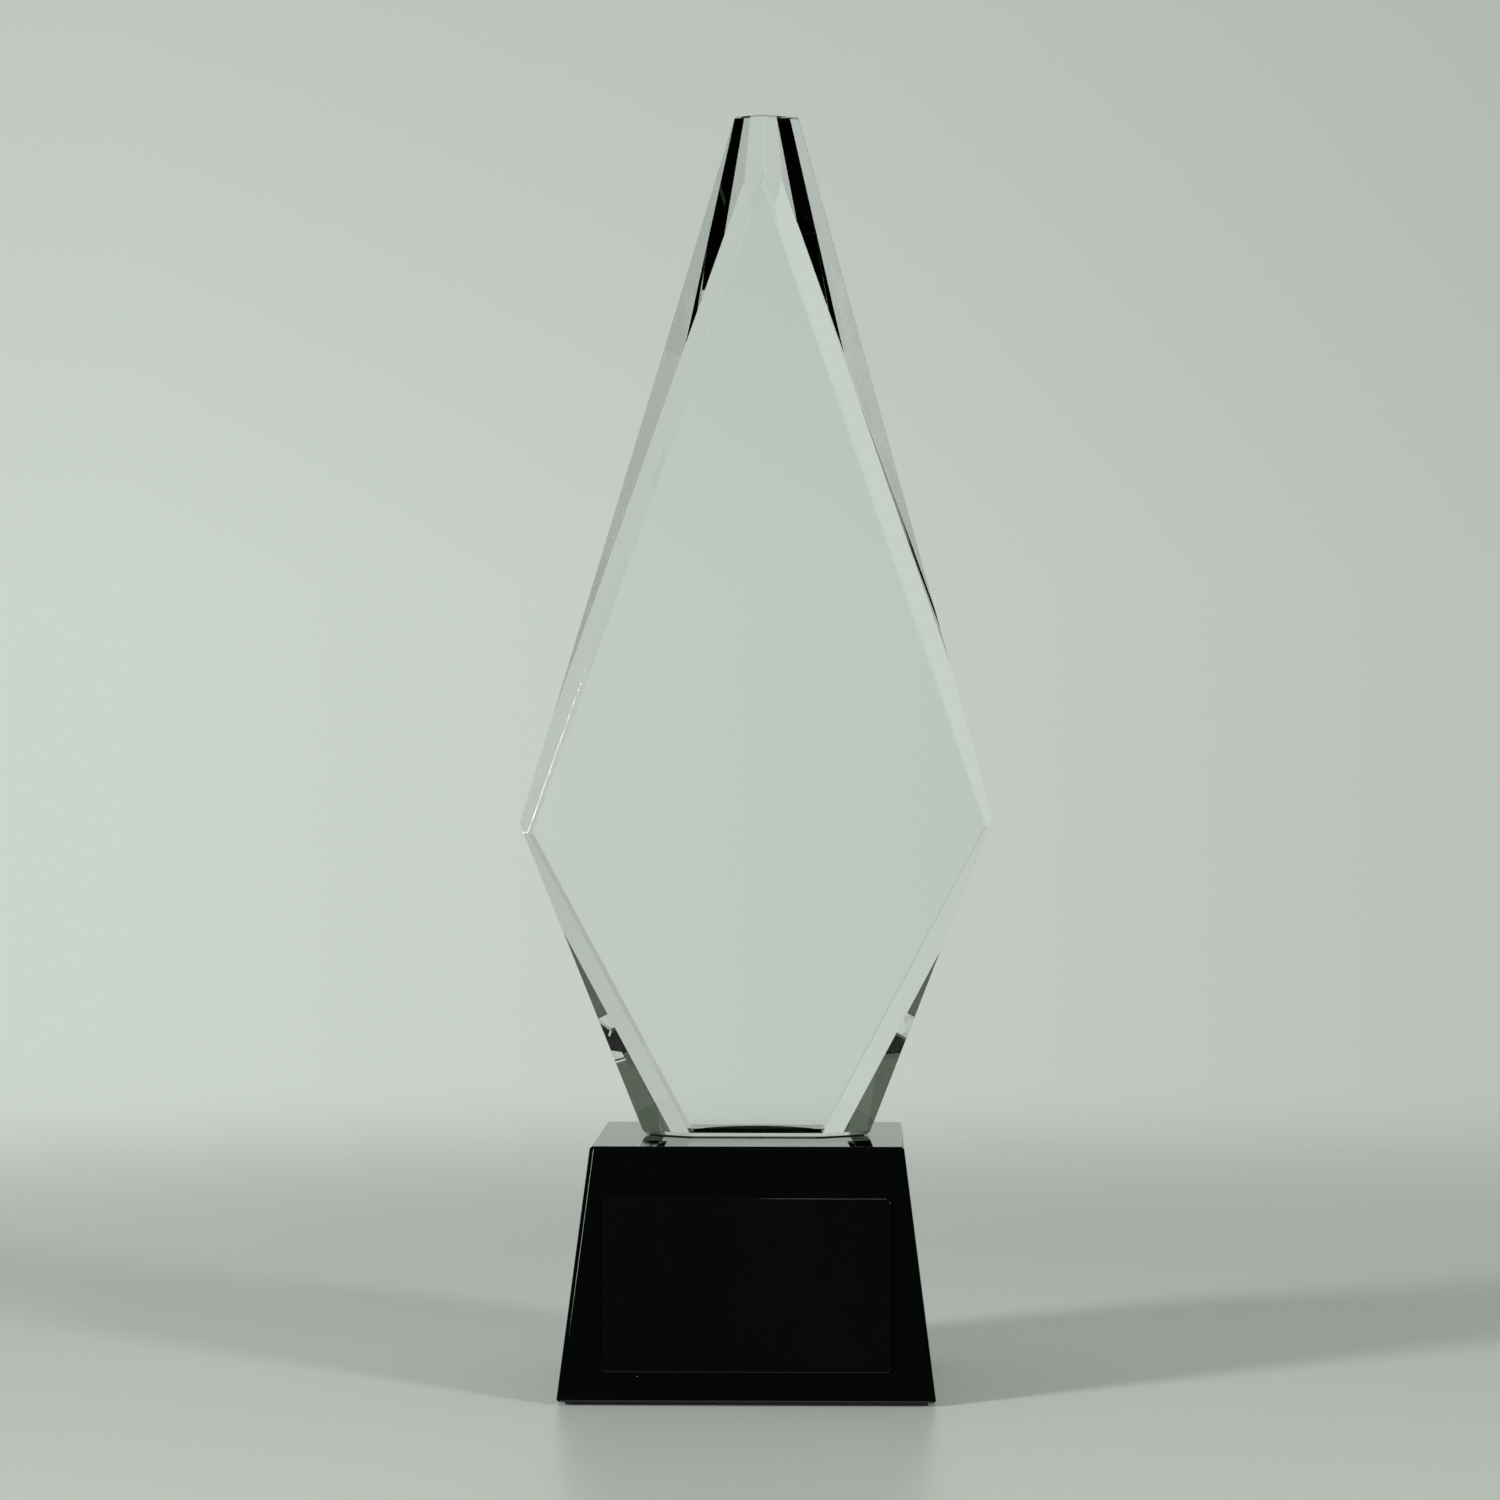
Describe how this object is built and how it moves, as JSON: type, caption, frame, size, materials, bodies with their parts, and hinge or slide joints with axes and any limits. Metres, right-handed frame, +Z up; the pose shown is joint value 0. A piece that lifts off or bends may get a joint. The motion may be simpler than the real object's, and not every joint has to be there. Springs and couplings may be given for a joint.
{
  "type": "crystal award",
  "caption": "Clear faceted crystal award in a stretched diamond shape, glued upright on a tapered black block with a front plaque.",
  "frame": {"origin": "centre of the underside of the felt, on the surface the award stands on", "axes": "+Z up, the front with the plaque faces -Y, +X to the right seen from the front"},
  "size_m": [0.0942, 0.0736, 0.2536],
  "materials": {
    "crystal": "polished clear optical crystal",
    "clear_adhesive": "clear cured adhesive",
    "black_crystal": "polished opaque black glass",
    "plaque_black": "gloss black lacquer",
    "adhesive_tape": "black adhesive foam",
    "felt": "short black felt"
  },
  "bodies": {
    "root": {"crystal_diamond": "crystal", "bond_film": "clear_adhesive", "black_base": "black_crystal", "plaque_tape": "adhesive_tape", "name_plaque": "plaque_black", "felt_pad": "felt"}
  },
  "joints": []
}
